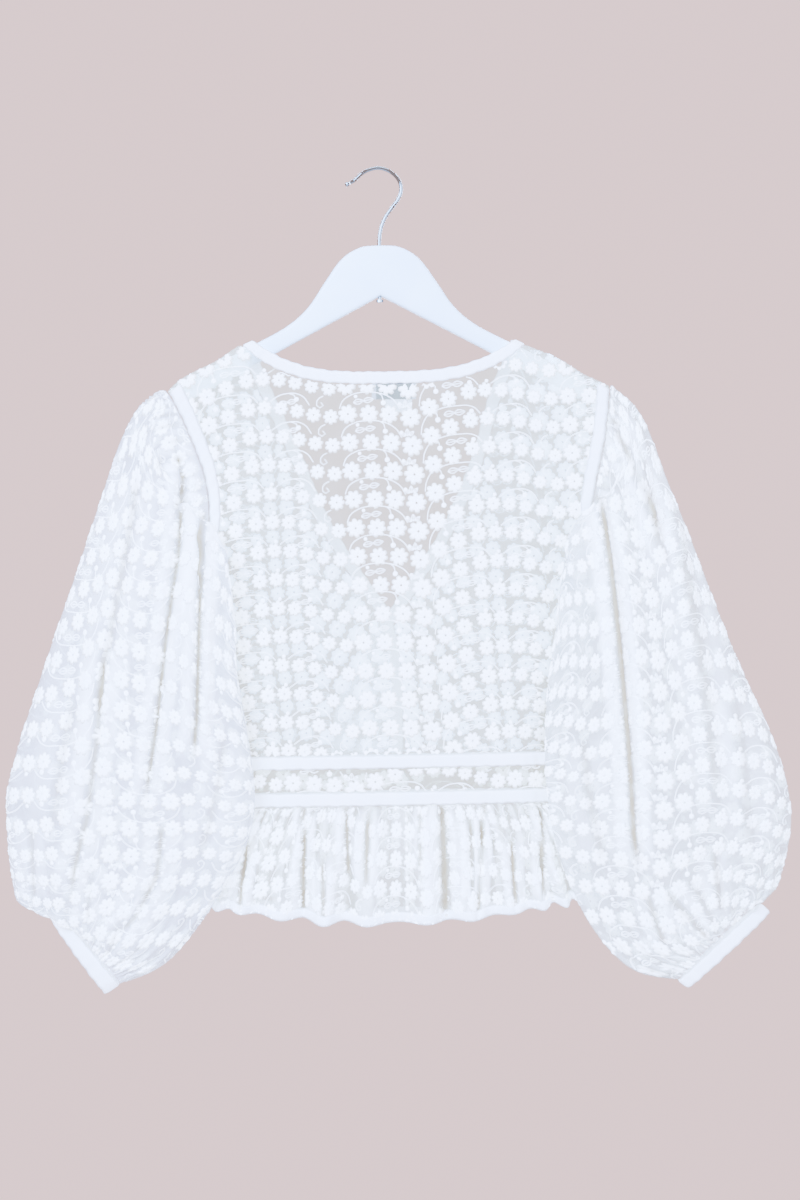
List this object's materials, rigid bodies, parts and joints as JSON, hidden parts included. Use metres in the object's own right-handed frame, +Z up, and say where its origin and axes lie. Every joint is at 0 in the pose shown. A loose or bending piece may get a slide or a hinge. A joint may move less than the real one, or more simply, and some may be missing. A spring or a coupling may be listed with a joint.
{
  "type": "lace blouse on a hanger",
  "caption": "Sheer embroidered lace blouse with balloon sleeves, a V neck and a gathered peplum, hanging on a painted wooden hanger.",
  "frame": {"origin": "inside the top of the hook's bend, where the rail that it hangs on would touch", "axes": "+Z up, +Y out of the blouse's front, -Y out of its back; the wearer's left is towards -X"},
  "size_m": [0.7819, 0.0954, 0.8253],
  "materials": {
    "lace": "sheer embroidered net",
    "tape": "plain weave",
    "label": "woven",
    "hanger": "painted, satin",
    "hook": "polished"
  },
  "bodies": {
    "root": {"bodice_back": "lace", "bodice_front_left": "lace", "bodice_front_right": "lace", "sleeve_left": "lace", "sleeve_right": "lace", "peplum": "lace", "waist_lace_band": "lace", "waist_tape_upper": "tape", "waist_tape_lower": "tape", "cuff_left": "tape", "cuff_right": "tape", "neck_binding_back": "tape", "neck_binding_left": "tape", "neck_binding_right": "tape", "armhole_tape_back_left": "tape", "armhole_tape_back_right": "tape", "armhole_tape_front_left": "tape", "armhole_tape_front_right": "tape", "size_tab": "tape", "neck_label": "label", "hanger_body": "hanger", "hook_wire": "hook", "hook_tip": "hook", "hook_nut": "hook"}
  },
  "joints": []
}
